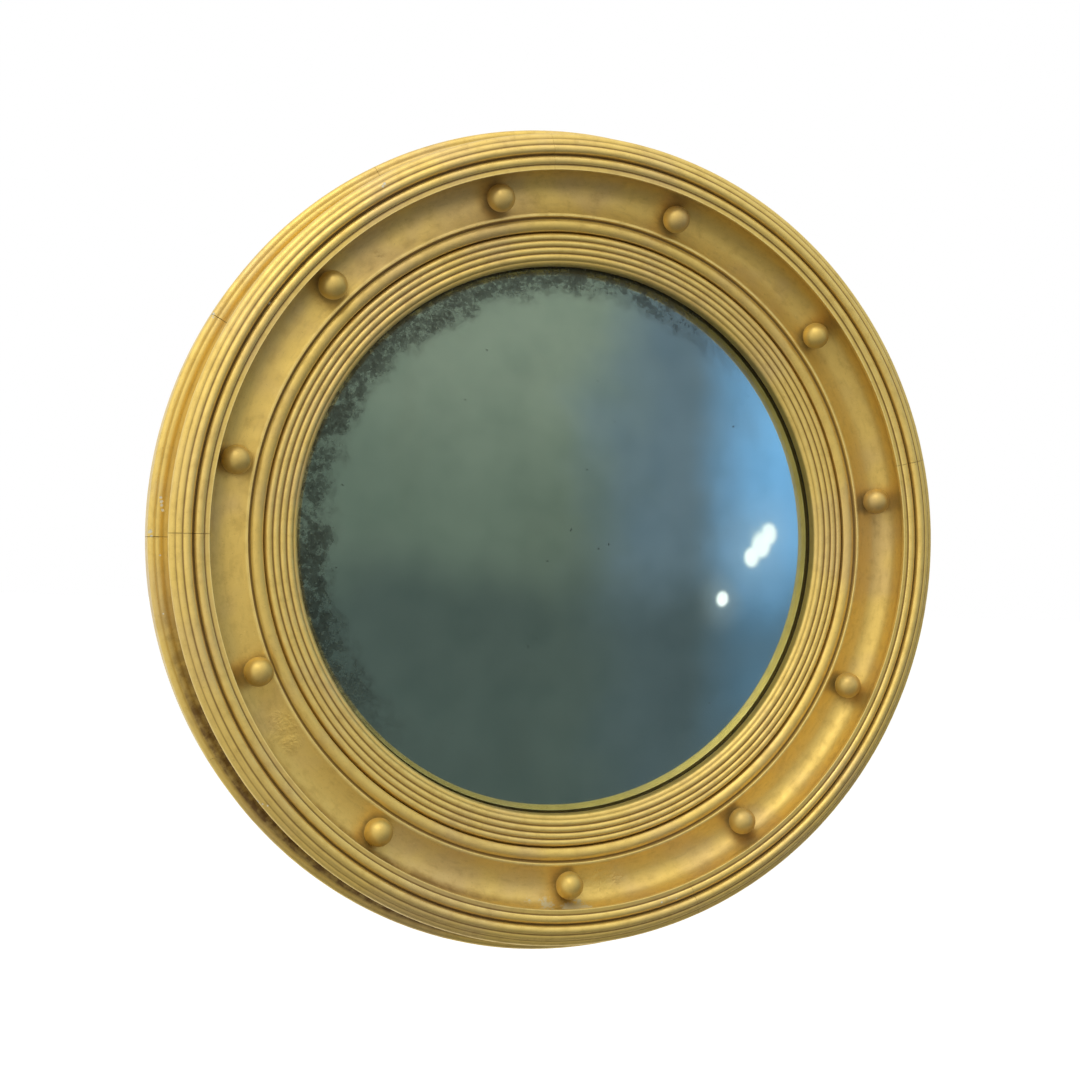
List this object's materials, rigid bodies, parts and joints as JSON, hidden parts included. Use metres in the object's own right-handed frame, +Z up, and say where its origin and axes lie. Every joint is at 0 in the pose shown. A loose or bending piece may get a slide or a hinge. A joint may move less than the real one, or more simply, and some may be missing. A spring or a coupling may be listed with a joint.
{
  "type": "convex butlers mirror",
  "caption": "Round convex wall mirror in a turned gilded wooden frame with a reeded rim, a ring of balls in its hollow, a reeded slip round the glass and a hanging ring behind.",
  "frame": {"origin": "middle of the flat back, in the plane that lies on the wall", "axes": "the glass faces -Y, +Y runs out of the back into the wall, +Z is up, +X is to the right seen from the front"},
  "size_m": [0.528, 0.0592, 0.528],
  "materials": {
    "gilt_wood": "satin gold paint over gesso, worn",
    "gilt_ball": "satin gold paint",
    "glass": "clear, polished, slightly green",
    "silvering": "silvered, foxed near the edge",
    "plywood": "bare, aged plywood",
    "softwood": "bare softwood",
    "brass": "dull, tarnished",
    "steel": "dull, grey"
  },
  "bodies": {
    "mirror": {"back_ring_block_01": "gilt_wood", "back_ring_block_02": "gilt_wood", "back_ring_block_03": "gilt_wood", "back_ring_block_04": "gilt_wood", "back_ring_block_05": "gilt_wood", "back_ring_block_06": "gilt_wood", "back_ring_block_07": "gilt_wood", "back_ring_block_08": "gilt_wood", "back_ring_block_09": "gilt_wood", "back_ring_block_10": "gilt_wood", "back_ring_block_11": "gilt_wood", "back_ring_block_12": "gilt_wood", "backboard": "plywood", "backboard_screws": "steel", "ball_01": "gilt_ball", "ball_02": "gilt_ball", "ball_03": "gilt_ball", "ball_04": "gilt_ball", "ball_05": "gilt_ball", "ball_06": "gilt_ball", "ball_07": "gilt_ball", "ball_08": "gilt_ball", "ball_09": "gilt_ball", "ball_10": "gilt_ball", "ball_11": "gilt_ball", "ball_pins": "steel", "convex_glass": "glass", "cove_ring": "gilt_wood", "glazing_blocks": "softwood", "hanger_screws": "steel", "hanger_strap": "brass", "reeded_slip": "gilt_wood", "rim_segment_bottom_left": "gilt_wood", "rim_segment_bottom_right": "gilt_wood", "rim_segment_top_left": "gilt_wood", "rim_segment_top_right": "gilt_wood", "silvering": "silvering"},
    "ring": {"hanger_ring": "brass"}
  },
  "joints": [
    {"name": "hanger_ring_swing", "type": "hinge", "parent": "mirror", "child": "ring", "pos_m": [0, 0.00295, 0.241], "axis": [1, 0, 0], "range_deg": [0, 180]}
  ]
}
